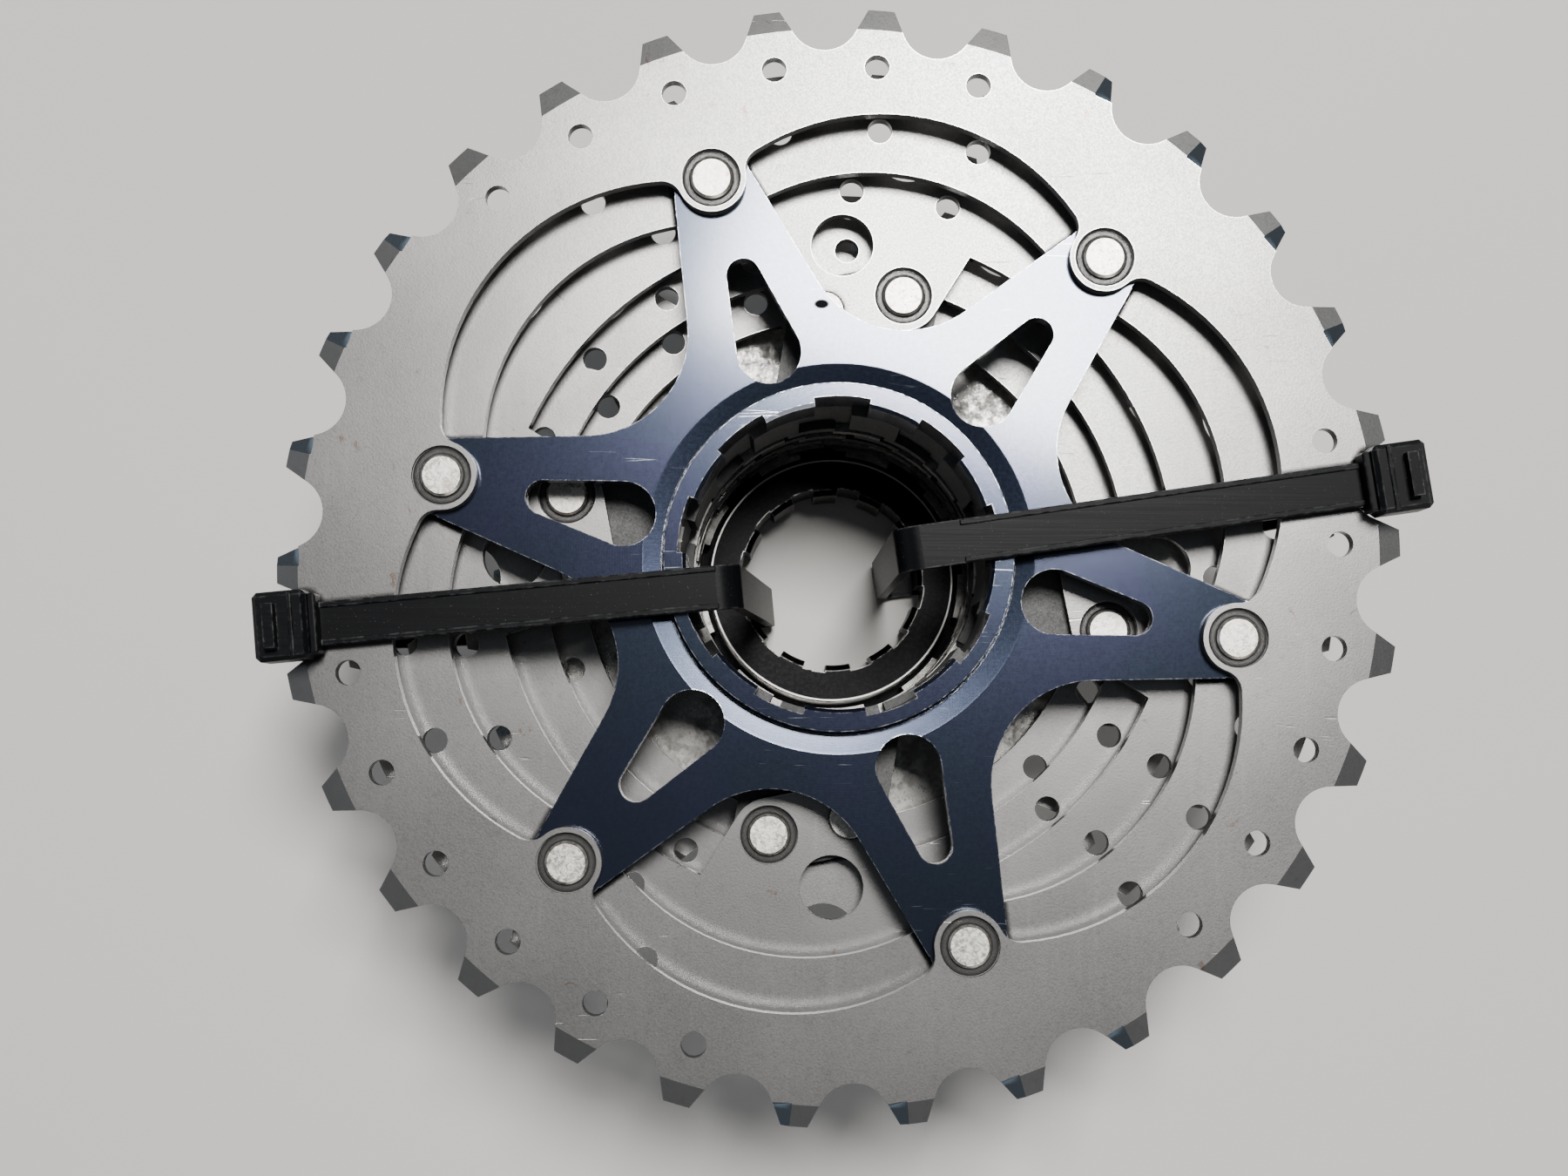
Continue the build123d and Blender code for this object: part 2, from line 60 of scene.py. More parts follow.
bl_info = {
    "name": "Tied road cassette",
    "version": (1, 0, 0),
    "blender": (4, 5, 0),
    "location": "View3D > Sidebar > Cassette",
    "description": "Finishes the pieces of a bicycle cassette and sets up its studio",
    "category": "Object",
}

TITANIUM_PLATES = ("sprocket_30t", "sprocket_27t", "sprocket_24t", "sprocket_21t", "sprocket_19t")
STEEL_PLATES = (
    "sprocket_17t", "sprocket_15t", "sprocket_14t", "sprocket_13t", "sprocket_12t", "sprocket_11t",
)
SPACERS = ("spacer_19_17", "spacer_17_15", "spacer_15_14")
RIVETS = ("rear_rivets", "mid_rivets", "long_rivets", "rivet_collars")

# Millimetres from the hub axis: where a ring starts, is full, starts to fade and ends.
DISH = (18.9, 19.3, 21.4, 21.9)
THREAD = (15.02, 15.12, 15.45, 15.75)
THREAD_PITCH = 1.0

# A small oval knock on the spider's face: its centre in millimetres, and how far it is drawn out.
NICK_X, NICK_Y = -1.8, 28.4
NICK_SQUEEZE = 0.62

# Each tie's angle in degrees, its distance beside the axis and its head's distance along it.
TIES = (("tie_left", 185.3, 0.0023, 0.0604), ("tie_right", 8.1, -0.0004, 0.0612))

# The strap's two side rails, and the lip and ridge of its head: length, width and height.
RAIL_WIDTH, RAIL_HEIGHT = 0.0006, 0.0005
RAIL_START, RAIL_STOP = 0.0135, 0.0034
RAIL_ASIDE, RAIL_LEVEL = 0.00205, 0.00128
LIP = (0.0010, 0.0066, 0.0030)
LIP_BACK, LIP_LEVEL = 0.0032, 0.0017
RIDGE = (0.0005, 0.0070, 0.0005)
RIDGE_BACK, RIDGE_DROP = 0.0012, 0.0014

# Each soft light's place, the point it faces, its two sides and its colour.
LIGHTS = {
    "key": ((0.12, 0.34, 1.0), (0, 0.02, 0), (0.28, 0.30), (1.0, 0.985, 0.96)),
    "fill": ((-1.2, 0.1, 0.6), (0, 0, 0), (0.8, 0.8), (0.80, 0.88, 1.0)),
    "side": ((0.55, -1.15, 0.35), (0, 0, -0.02), (0.9, 0.5), (1.0, 0.97, 0.93)),
}
ROOM_COLOR = (0.80, 0.86, 0.95, 1)


class CassetteFinish(bpy.types.PropertyGroup):
    """Colours and wear of the pieces."""

    titanium: bpy.props.FloatVectorProperty(
        name="Titanium", description="Colour of the five large sprockets",
        subtype="COLOR", size=3, min=0, max=1, default=(0.250, 0.247, 0.243),
    )
    steel: bpy.props.FloatVectorProperty(
        name="Plated steel", description="Colour of the six small sprockets",
        subtype="COLOR", size=3, min=0, max=1, default=(0.33, 0.325, 0.31),
    )
    anodised: bpy.props.FloatVectorProperty(
        name="Anodised alloy", description="Dark dyed colour of the spider",
        subtype="COLOR", size=3, min=0, max=1, default=(0.018, 0.029, 0.055),
    )
    cast: bpy.props.FloatVectorProperty(
        name="Cast alloy", description="Bare grey colour of the middle carrier",
        subtype="COLOR", size=3, min=0, max=1, default=(0.085, 0.085, 0.085),
    )
    rivet: bpy.props.FloatVectorProperty(
        name="Rivets", description="Colour of the rivet heads",
        subtype="COLOR", size=3, min=0, max=1, default=(0.62, 0.595, 0.55),
    )
    nylon: bpy.props.FloatVectorProperty(
        name="Nylon", description="Colour of the cable ties",
        subtype="COLOR", size=3, min=0, max=1, default=(0.0030, 0.0034, 0.0042),
    )
    wear: bpy.props.FloatProperty(
        name="Wear", description="How strongly scratches and stains show",
        subtype="FACTOR", min=0, max=1, default=0.6,
    )
    edge_width: bpy.props.FloatProperty(
        name="Edge width", description="Width of the softened edges of metal pieces",
        unit="LENGTH", min=0, max=0.001, default=0.00012, precision=5,
    )


class CassetteStudio(bpy.types.PropertyGroup):
    """Floor, camera and lights."""

    floor: bpy.props.FloatVectorProperty(
        name="Floor", description="Colour of the floor",
        subtype="COLOR", size=3, min=0, max=1, default=(0.66, 0.645, 0.62),
    )
    floor_size: bpy.props.FloatProperty(
        name="Floor size", description="Length of each side of the floor",
        unit="LENGTH", min=0.5, default=6.0,
    )
    camera_height: bpy.props.FloatProperty(
        name="Camera height", description="Height of the camera above the spider's back face",
        unit="LENGTH", min=0.05, default=0.2088,
    )
    camera_aside: bpy.props.FloatVectorProperty(
        name="Camera offset", description="Camera's place beside the hub axis",
        subtype="XYZ", size=2, unit="LENGTH", default=(-0.0060, -0.0193),
    )
    camera_tilt: bpy.props.FloatProperty(
        name="Camera tilt", description="Tilt of the camera away from straight down",
        subtype="ANGLE", default=math.radians(4.32),
    )
    lens: bpy.props.FloatProperty(
        name="Lens", description="Focal length in millimetres on a 36 mm sensor",
        min=10, default=44.0,
    )
    key_power: bpy.props.FloatProperty(
        name="Key light", description="Power of the large soft light",
        unit="POWER", min=0, default=17.0,
    )
    fill_power: bpy.props.FloatProperty(
        name="Fill light", description="Power of the cool light on the left",
        unit="POWER", min=0, default=1.8,
    )
    side_power: bpy.props.FloatProperty(
        name="Side light", description="Power of the low light on the near side",
        unit="POWER", min=0, default=5.0,
    )
    sky: bpy.props.FloatProperty(
        name="Room light", description="Strength of the even light of the room",
        min=0, default=0.11,
    )


class Finish:
    """A node material under construction: each call adds a node and returns its output."""

    def __init__(self, name):
        self.material = bpy.data.materials.new(name)
        self.material.use_nodes = True
        self.tree = self.material.node_tree
        self.tree.nodes.clear()
        self.output = self.tree.nodes.new("ShaderNodeOutputMaterial")
        self.shader = self.tree.nodes.new("ShaderNodeBsdfPrincipled")
        self.tree.links.new(self.shader.outputs["BSDF"], self.output.inputs["Surface"])
        place = self.add("ShaderNodeVectorMath", operation="SCALE")
        self.feed(place, 0, self.add("ShaderNodeTexCoord").outputs["Object"])
        place.inputs["Scale"].default_value = 1 / MM
        self.mm = place.outputs[0]

    def add(self, kind, **settings):
        made = self.tree.nodes.new(kind)
        for key, value in settings.items():
            setattr(made, key, value)
        return made

    def feed(self, made, socket, value):
        """Link a socket, or set it to a plain value."""
        if isinstance(value, bpy.types.NodeSocket):
            self.tree.links.new(value, made.inputs[socket])
        else:
            made.inputs[socket].default_value = value

    def math(self, operation, a, b=0.0, clamp=False):
        made = self.add("ShaderNodeMath", operation=operation, use_clamp=clamp)
        self.feed(made, 0, a)
        self.feed(made, 1, b)
        return made.outputs[0]

    def stretched(self, scale, turn=0.0, shift=(0, 0, 0)):
        """The place in millimetres, turned about the axis, then scaled on each axis."""
        made = self.add("ShaderNodeMapping", vector_type="POINT")
        self.feed(made, "Vector", self.mm)
        made.inputs["Rotation"].default_value = (0, 0, turn)
        made.inputs["Location"].default_value = shift
        made.inputs["Scale"].default_value = scale
        return made.outputs[0]

    def noise(self, scale, detail=2.0, rough=0.5, vector=None, warp=0.0):
        made = self.add("ShaderNodeTexNoise")
        self.feed(made, "Vector", vector or self.mm)
        made.inputs["Scale"].default_value = scale
        made.inputs["Detail"].default_value = detail
        made.inputs["Roughness"].default_value = rough
        made.inputs["Distortion"].default_value = warp
        return made.outputs["Fac"]

    def cracks(self, scale, vector=None):
        """Distance to the nearest cell wall of a Voronoi pattern."""
        made = self.add("ShaderNodeTexVoronoi", feature="DISTANCE_TO_EDGE")
        self.feed(made, "Vector", vector or self.mm)
        made.inputs["Scale"].default_value = scale
        return made.outputs["Distance"]

    def spots(self, scale, vector=None):
        """Distance to the nearest point of a Voronoi pattern."""
        made = self.add("ShaderNodeTexVoronoi", feature="F1")
        self.feed(made, "Vector", vector or self.mm)
        made.inputs["Scale"].default_value = scale
        return made.outputs["Distance"]

    def between(self, value, low, high, out_low=0.0, out_high=1.0):
        """Ease from one output to the other as the value goes from low to high."""
        made = self.add("ShaderNodeMapRange", interpolation_type="SMOOTHSTEP")
        for socket, number in zip(("Value", "From Min", "From Max", "To Min", "To Max"),
                                  (value, low, high, out_low, out_high)):
            self.feed(made, socket, number)
        return made.outputs["Result"]

    def blend(self, share, a, b):
        """Mix two colours."""
        made = self.add("ShaderNodeMix", data_type="RGBA")
        self.feed(made, 0, share)
        for socket, value in ((6, a), (7, b)):
            is_socket = isinstance(value, bpy.types.NodeSocket)
            self.feed(made, socket, value if is_socket else (*value, 1.0))
        return made.outputs[2]

    def over(self, base, mask, share, color):
        """Lay a colour over the base where the mask is 1, as strongly as share."""
        return self.blend(self.math("MULTIPLY", mask, share), base, color)

    def radius(self):
        """Distance from the hub axis, in millimetres."""
        flat = self.add("ShaderNodeVectorMath", operation="MULTIPLY")
        self.feed(flat, 0, self.mm)
        flat.inputs[1].default_value = (1, 1, 0)
        made = self.add("ShaderNodeVectorMath", operation="LENGTH")
        self.feed(made, 0, flat.outputs[0])
        return made.outputs["Value"]

    def ring(self, start, full, fade, end):
        """1 in a ring round the hub axis, easing to 0 on both sides."""
        radius = self.radius()
        return self.math("MULTIPLY", self.between(radius, start, full), self.between(radius, end, fade))

    def facing_axis(self):
        """1 on faces square to the hub axis, 0 on the walls round it."""
        split = self.add("ShaderNodeSeparateXYZ")
        self.feed(split, 0, self.add("ShaderNodeNewGeometry").outputs["True Normal"])
        return self.between(self.math("ABSOLUTE", split.outputs["Z"]), 0.90, 0.995)

    def edges(self, width_mm):
        """1 along sharp edges, 0 on flats: a rounded normal against the plain one."""
        rounded = self.add("ShaderNodeBevel", samples=4)
        rounded.inputs["Radius"].default_value = width_mm * MM
        dot = self.add("ShaderNodeVectorMath", operation="DOT_PRODUCT")
        self.feed(dot, 0, rounded.outputs[0])
        self.feed(dot, 1, self.add("ShaderNodeNewGeometry").outputs["Normal"])
        return self.between(dot.outputs["Value"], 0.995, 0.86)

    def scratches(self, turn, amount, seed):
        """Fine lines at one angle, broken up by a patchy mask."""
        lines = self.stretched((0.035, 1.0, 0.035), turn, (seed, seed * 0.7, 0))
        thin = self.between(self.cracks(0.42, lines), 0.012, 0.003)
        patch = self.noise(0.16, 2, 0.5, self.stretched((1, 1, 1), 0, (seed, 0, 3)))
        patch = self.between(patch, 0.72 - amount, 0.80 - amount)
        return self.math("MULTIPLY", thin, patch)

    def recess(self, reach_mm):
        """1 in narrow recesses and corners, 0 in the open."""
        made = self.add("ShaderNodeAmbientOcclusion", samples=6)
        made.inputs["Distance"].default_value = reach_mm * MM
        return self.between(made.outputs["AO"], 0.99, 0.78)

    def bump(self, height, strength, depth_mm):
        made = self.add("ShaderNodeBump")
        made.inputs["Strength"].default_value = strength
        made.inputs["Distance"].default_value = depth_mm * MM
        self.feed(made, "Height", height)
        self.feed(self.shader, "Normal", made.outputs[0])

    def surface(self, color, metallic, roughness, **sockets):
        """Feed the shader and return the finished material."""
        self.feed(self.shader, "Base Color", color)
        self.feed(self.shader, "Metallic", metallic)
        self.feed(self.shader, "Roughness", roughness)
        for name, value in sockets.items():
            self.feed(self.shader, name.replace("_", " "), value)
        return self.material


def shade(color, factor):
    """The colour made darker or lighter."""
    return tuple(min(1.0, c * factor) for c in color)


def titanium_finish(name, color, wear, seed, tip_mm):
    """Fine blasted titanium: cloudy grey, tiny specks, light scratches, a few brown stains, painted
    shade in the recesses and a painted highlight along the edges.
    """
    f = Finish(name)
    own = f.stretched((1, 1, 1), seed, (seed * 13, seed * 7, seed * 3))
    cloud = f.noise(0.045, 3, 0.55, own)
    base = f.blend(f.between(cloud, 0.3, 0.7), shade(color, 0.86), shade(color, 1.12))
    grain = f.noise(4.5, 3, 0.65, own)
    blot = f.noise(0.8, 4, 0.65, own)
    base = f.blend(f.between(blot, 0.50, 0.72, 0.0, 0.30), base, shade(color, 0.66))
    base = f.blend(f.between(grain, 0.35, 0.68, 0.0, 0.45), base, shade(color, 0.62))
    streak = f.noise(0.9, 3, 0.6, f.stretched((1.0, 0.06, 1.0), 0.9 + seed, (seed, 0, 0)))
    base = f.blend(f.between(streak, 0.55, 0.8, 0.0, 0.25), base, shade(color, 1.25))
    specks = f.between(f.spots(1.1, own), 0.075, 0.03)
    specks = f.math("MULTIPLY", specks, f.between(f.noise(0.35, 2, 0.5, own), 0.45, 0.6))
    base = f.over(base, specks, 0.6, (0.05, 0.045, 0.04))
    stains = f.between(f.noise(0.5, 4, 0.6, own, 0.8), 0.67, 0.74)
    base = f.over(base, stains, 0.8 * wear, (0.13, 0.055, 0.022))
    marks = f.scratches(0.5 + seed, 0.10 * wear, seed * 5)
    marks = f.math("MAXIMUM", marks, f.scratches(1.9 + seed, 0.08 * wear, seed * 9))
    base = f.over(base, marks, 0.3, shade(color, 1.5))
    # Painted shade: narrow recesses, such as the moats round the rivets, are darkened almost to black
    # and lose their metal and gloss.
    grime_and_painted_shade = f.recess(0.8)
    base = f.over(base, grime_and_painted_shade, 0.95, (0.012, 0.011, 0.011))
    # Painted highlight: sharp edges are lightened to about twice the plate colour and made a little
    # glossier.
    edge = f.edges(0.22)
    base = f.over(base, edge, 0.75, shade(color, 2.1))
    tip = f.between(f.radius(), tip_mm - 2.9, tip_mm - 2.1)
    tip = f.math("MULTIPLY", tip, f.math("SUBTRACT", 1.0, f.facing_axis()))
    base = f.over(base, tip, 0.75, (0.13, 0.19, 0.25))
    rough = f.between(grain, 0.2, 0.8, 0.28, 0.38)
    rough = f.math("SUBTRACT", rough, f.math("MULTIPLY", f.math("MAXIMUM", edge, tip), 0.12))
    rough = f.math("MAXIMUM", rough, f.math("MULTIPLY", grime_and_painted_shade, 0.85))
    bare = f.math("SUBTRACT", 0.9, f.math("MULTIPLY", grime_and_painted_shade, 0.9), clamp=True)
    f.bump(f.math("ADD", grain, f.math("MULTIPLY", marks, -1.5)), 0.35, 0.02)
    gloss = f.math("SUBTRACT", 0.3, f.math("MULTIPLY", grime_and_painted_shade, 0.3), clamp=True)
    return f.surface(base, bare, rough, Specular_IOR_Level=gloss)


def steel_finish(name, color, wear, seed, tip_mm):
    """Nickel plated steel, brighter and smoother, with grey chain grime low on the teeth."""
    f = Finish(name)
    own = f.stretched((1, 1, 1), seed, (seed * 11, seed * 5, seed * 2))
    cloud = f.noise(0.12, 3, 0.55, own)
    base = f.blend(f.between(cloud, 0.3, 0.7), shade(color, 0.86), shade(color, 1.12))
    grain = f.noise(3.0, 4, 0.6, own)
    base = f.blend(f.between(grain, 0.45, 0.7, 0.0, 0.3), base, shade(color, 0.5))
    low = f.between(f.radius(), tip_mm - 3.2, tip_mm - 5.6)
    grime_and_painted_shade = f.math("MULTIPLY", low, f.between(f.noise(0.5, 4, 0.65, own), 0.42, 0.62))
    base = f.over(base, grime_and_painted_shade, 0.7 * wear, (0.07, 0.062, 0.052))
    marks = f.scratches(0.4 + seed, 0.12 * wear, seed * 4)
    base = f.over(base, marks, 0.6, shade(color, 1.7))
    edge = f.edges(0.2)
    base = f.over(base, edge, 0.5, shade(color, 1.7))
    rough = f.math("ADD", f.between(grain, 0.3, 0.75, 0.24, 0.42), f.math("MULTIPLY", grime_and_painted_shade, 0.2))
    f.bump(f.math("SUBTRACT", grain, marks), 0.25, 0.02)
    return f.surface(base, 0.92, rough, Specular_IOR_Level=0.5)


def anodised_finish(name, color, wear, seed):
    """Satin dark blue anodised alloy with a violet cast, turning marks, worn edges and a band of painted
    shade on the dish.
    """
    f = Finish(name)
    own = f.stretched((1, 1, 1), 0, (seed * 3, seed * 5, seed))
    cloud = f.noise(0.05, 3, 0.5, own)
    violet = (color[0] * 1.35, color[1] * 1.0, color[2] * 1.25)
    base = f.blend(f.between(cloud, 0.38, 0.66), color, violet)
    grain = f.noise(2.6, 4, 0.65, own)
    base = f.blend(f.between(grain, 0.35, 0.75, 0.0, 0.5), base, shade(color, 0.55))
    rings = f.math("SINE", f.math("MULTIPLY", f.radius(), 22.0))
    rings = f.math("MULTIPLY", rings, f.facing_axis())
    brush = f.noise(1.0, 2, 0.6, f.stretched((0.5, 7.0, 1.0), 0.35))
    brush = f.math("ADD", brush, f.noise(1.0, 2, 0.6, f.stretched((7.0, 0.5, 1.0), 0.35)))
    dust = f.between(f.noise(7.0, 2, 0.5, own), 0.70, 0.78)
    base = f.over(base, dust, 0.30, (0.24, 0.26, 0.30))
    marks = f.scratches(0.3, 0.13 * wear, 2.0)
    marks = f.math("MAXIMUM", marks, f.scratches(1.35, 0.10 * wear, 7.0))
    marks = f.math("MAXIMUM", marks, f.scratches(2.4, 0.08 * wear, 11.0))
    base = f.over(base, marks, 0.6, (0.42, 0.44, 0.50))
    nick = f.add("ShaderNodeVectorMath", operation="DISTANCE")
    f.feed(nick, 0, f.stretched((NICK_SQUEEZE, 1.0, 0.0)))
    nick.inputs[1].default_value = (NICK_X * NICK_SQUEEZE, NICK_Y, 0.0)
    nicked = f.between(nick.outputs["Value"], 0.62, 0.40)
    base = f.blend(nicked, base, (0.006, 0.007, 0.010))
    # Painted shade: the dish band round the boss is darkened to about three fifths of the dye colour,
    # which dims the key light's reflection on its slope; its coat is thinned too.
    dish = f.ring(*DISH)
    base = f.over(base, dish, 0.75, shade(color, 0.45))
    dull = f.math("MAXIMUM", nicked, f.math("MULTIPLY", dish, 0.8))
    coat = f.math("SUBTRACT", 1.0, dull, clamp=True)
    rub = f.between(f.noise(1.6, 4, 0.6, own), 0.40, 0.62)
    edge = f.math("MULTIPLY", f.edges(0.2), rub)
    base = f.over(base, edge, 0.85, (0.62, 0.63, 0.66))
    rough = f.between(grain, 0.25, 0.8, 0.17, 0.23)
    rough = f.math("MAXIMUM", rough, f.math("MULTIPLY", nicked, 0.8))
    height = f.math("ADD", f.math("MULTIPLY", rings, 0.12), f.math("SUBTRACT", brush, marks))
    f.bump(height, 0.09, 0.02)
    return f.surface(
        base, 0.85, rough, Specular_IOR_Level=0.6,
        Coat_Weight=coat, Coat_Roughness=0.12, Coat_IOR=1.65,
    )


def cast_finish(name, color):
    """Bare cast alloy: a rough, matte grey skin with soft clouds and small pits."""
    f = Finish(name)
    cloud = f.noise(0.55, 4, 0.6)
    base = f.blend(f.between(cloud, 0.3, 0.7), shade(color, 0.90), shade(color, 1.10))
    skin = f.noise(5.0, 4, 0.7)
    base = f.blend(f.between(skin, 0.40, 0.75, 0.0, 0.5), base, shade(color, 0.5))
    pits = f.between(f.spots(1.6), 0.16, 0.05)
    base = f.over(base, pits, 0.45, shade(color, 0.35))
    f.bump(f.math("SUBTRACT", skin, pits), 0.35, 0.04)
    return f.surface(base, 0.6, f.between(skin, 0.3, 0.7, 0.50, 0.64), Specular_IOR_Level=0.4)


def rivet_finish(name, color, wear):
    """Pressed rivet heads: mottled silver with dents and a little brown in the pits."""
    f = Finish(name)
    mottle = f.noise(2.0, 4, 0.6, None, 0.6)
    base = f.blend(f.between(mottle, 0.35, 0.65), shade(color, 0.72), shade(color, 1.2))
    pits = f.between(f.noise(3.4, 3, 0.6), 0.64, 0.74)
    base = f.over(base, pits, 0.5, (0.16, 0.14, 0.12))
    rust = f.math("MULTIPLY", f.between(f.noise(0.32, 2, 0.5), 0.60, 0.68), f.between(mottle, 0.45, 0.6))
    base = f.over(base, rust, wear, (0.22, 0.12, 0.05))
    f.bump(f.math("SUBTRACT", mottle, pits), 0.35, 0.05)
    return f.surface(base, 0.9, f.between(mottle, 0.3, 0.7, 0.30, 0.46), Specular_IOR_Level=0.5)


def moulded_finish(name):
    """Black moulded spacer plastic with a faint grain and grey dust."""
    f = Finish(name)
    grain = f.noise(3.5, 3, 0.6)
    dust = f.between(f.noise(0.35, 4, 0.6), 0.5, 0.75)
    base = f.blend(f.math("MULTIPLY", dust, 0.35), (0.020, 0.020, 0.021), (0.11, 0.105, 0.10))
    f.bump(grain, 0.3, 0.03)
    return f.surface(base, 0.0, f.between(grain, 0.3, 0.7, 0.42, 0.58), Specular_IOR_Level=0.5)


def lockring_finish(name):
    """Black anodised ring whose turned thread and worn edges show bright alloy."""
    f = Finish(name)
    grain = f.noise(2.2, 4, 0.6)
    base = f.blend(f.between(grain, 0.4, 0.7), (0.003, 0.003, 0.0035), (0.008, 0.008, 0.0085))
    barrel = f.ring(*THREAD)
    edge = f.math("MULTIPLY", f.edges(0.25), f.between(f.noise(1.2, 3, 0.6), 0.35, 0.6))
    bare = f.math("MAXIMUM", f.math("MULTIPLY", barrel, 0.9), f.math("MULTIPLY", edge, 0.8))
    base = f.blend(bare, base, (0.66, 0.65, 0.62))
    split = f.add("ShaderNodeSeparateXYZ")
    f.feed(split, 0, f.mm)
    turns = f.math("MULTIPLY", split.outputs["Z"], 2 * math.pi / THREAD_PITCH)
    thread = f.math("MULTIPLY", f.math("SINE", turns), barrel)
    f.bump(f.math("ADD", thread, f.math("MULTIPLY", grain, 0.1)), 0.5, 0.2)
    return f.surface(base, 0.85, f.between(grain, 0.3, 0.7, 0.34, 0.46), Specular_IOR_Level=0.3)


def nylon_finish(name, color, turn):
    """Black nylon strap: long fine streaks along it, scuffed pale along its edges."""
    f = Finish(name)
    along = f.stretched((0.05, 5.5, 5.5), -turn)
    streak = f.noise(1.0, 4, 0.65, along)
    fine = f.noise(3.2, 3, 0.6, along)
    base = f.blend(f.between(streak, 0.50, 0.80, 0.0, 0.6), color, (0.008, 0.009, 0.011))
    scuff = f.math("MULTIPLY", f.edges(0.3), f.between(f.noise(0.9, 4, 0.65), 0.42, 0.66))
    base = f.over(base, scuff, 0.6, (0.16, 0.165, 0.17))
    dust = f.between(f.noise(6.0, 2, 0.5), 0.70, 0.76)
    base = f.over(base, dust, 0.3, (0.25, 0.25, 0.25))
    f.bump(f.math("ADD", streak, fine), 0.15, 0.02)
    rough = f.between(streak, 0.3, 0.7, 0.34, 0.46)
    return f.surface(base, 0.0, rough, Specular_IOR_Level=0.16, IOR=1.35)


def clothe(node, material, edge=0.0, segments=2):
    """Give a CAD piece its material and, if asked, softened edges."""
    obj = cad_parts[node]
    obj.data.materials.clear()
    obj.data.materials.append(material)
    if edge:
        bevel = obj.modifiers.new("softened edges", "BEVEL")
        bevel.width = edge
        bevel.segments = segments
        bevel.limit_method = "ANGLE"
        bevel.angle_limit = math.radians(38)
        bevel.use_clamp_overlap = True


def tip_radius_mm(node):
    """A sprocket's radius at the tips of its teeth."""
    low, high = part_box(node)
    return max(high.x, high.y, -low.x, -low.y) / MM


class CASSETTE_OT_large_sprockets(bpy.types.Operator):
    """Finish the five titanium sprockets"""

    bl_idname = "cassette.large_sprockets"
    bl_label = "Large sprockets"

    def execute(self, context):
        look = context.scene.cassette_finish
        for number, node in enumerate(TITANIUM_PLATES):
            name, seed, tip = f"titanium {node[-3:]}", number + 1.0, tip_radius_mm(node)
            material = titanium_finish(name, look.titanium, look.wear, seed, tip)
            clothe(node, material, look.edge_width)
        return {"FINISHED"}


class CASSETTE_OT_small_sprockets(bpy.types.Operator):
    """Finish the six plated steel sprockets"""

    bl_idname = "cassette.small_sprockets"
    bl_label = "Small sprockets"

    def execute(self, context):
        look = context.scene.cassette_finish
        for number, node in enumerate(STEEL_PLATES):
            name, seed, tip = f"plated steel {node[-3:]}", number + 1.0, tip_radius_mm(node)
            material = steel_finish(name, look.steel, look.wear, seed, tip)
            clothe(node, material, look.edge_width)
        return {"FINISHED"}


class CASSETTE_OT_carriers(bpy.types.Operator):
    """Finish the anodised spider and the bare middle carrier"""

    bl_idname = "cassette.carriers"
    bl_label = "Spider and carrier"

    def execute(self, context):
        look = context.scene.cassette_finish
        anodised = anodised_finish("anodised spider", look.anodised, look.wear, 1.0)
        clothe("rear_spider", anodised, look.edge_width)
        clothe("mid_carrier", cast_finish("cast carrier", look.cast), look.edge_width)
        return {"FINISHED"}


class CASSETTE_OT_rivets(bpy.types.Operator):
    """Finish the rivets and their collars"""

    bl_idname = "cassette.rivets"
    bl_label = "Rivets"

    def execute(self, context):
        look = context.scene.cassette_finish
        material = rivet_finish("rivet steel", look.rivet, look.wear)
        for node in RIVETS:
            clothe(node, material, look.edge_width)
        return {"FINISHED"}


class CASSETTE_OT_spacers(bpy.types.Operator):
    """Finish the three spacers"""

    bl_idname = "cassette.spacers"
    bl_label = "Spacers"

    def execute(self, context):
        look = context.scene.cassette_finish
        material = moulded_finish("moulded spacer")
        for node in SPACERS:
            clothe(node, material, look.edge_width)
        return {"FINISHED"}


class CASSETTE_OT_lockring(bpy.types.Operator):
    """Finish the lockring"""

    bl_idname = "cassette.lockring"
    bl_label = "Lockring"

    def execute(self, context):
        look = context.scene.cassette_finish
        clothe("lockring", lockring_finish("lockring alloy"), look.edge_width)
        return {"FINISHED"}


def block(shape, size, centre, turn, aside, round_by):
    """Add a box with rounded edges to a mesh, placed along a tie that leaves the axis at turn."""
    made = bmesh.ops.create_cube(shape, size=1.0)["verts"]
    bmesh.ops.scale(shape, vec=size, verts=made)
    edges = list(dict.fromkeys(edge for vert in made for edge in vert.link_edges))
    rounded = bmesh.ops.bevel(
        shape, geom=edges, offset=round_by, segments=3, affect="EDGES", profile=0.5,
    )
    verts = {vert for face in rounded["faces"] for vert in face.verts}
    verts |= {vert for vert in made if vert.is_valid}
    place = Matrix.Rotation(turn, 4, "Z") @ Matrix.Translation((centre[0], centre[1] + aside, centre[2]))
    bmesh.ops.transform(shape, matrix=place, verts=list(verts))


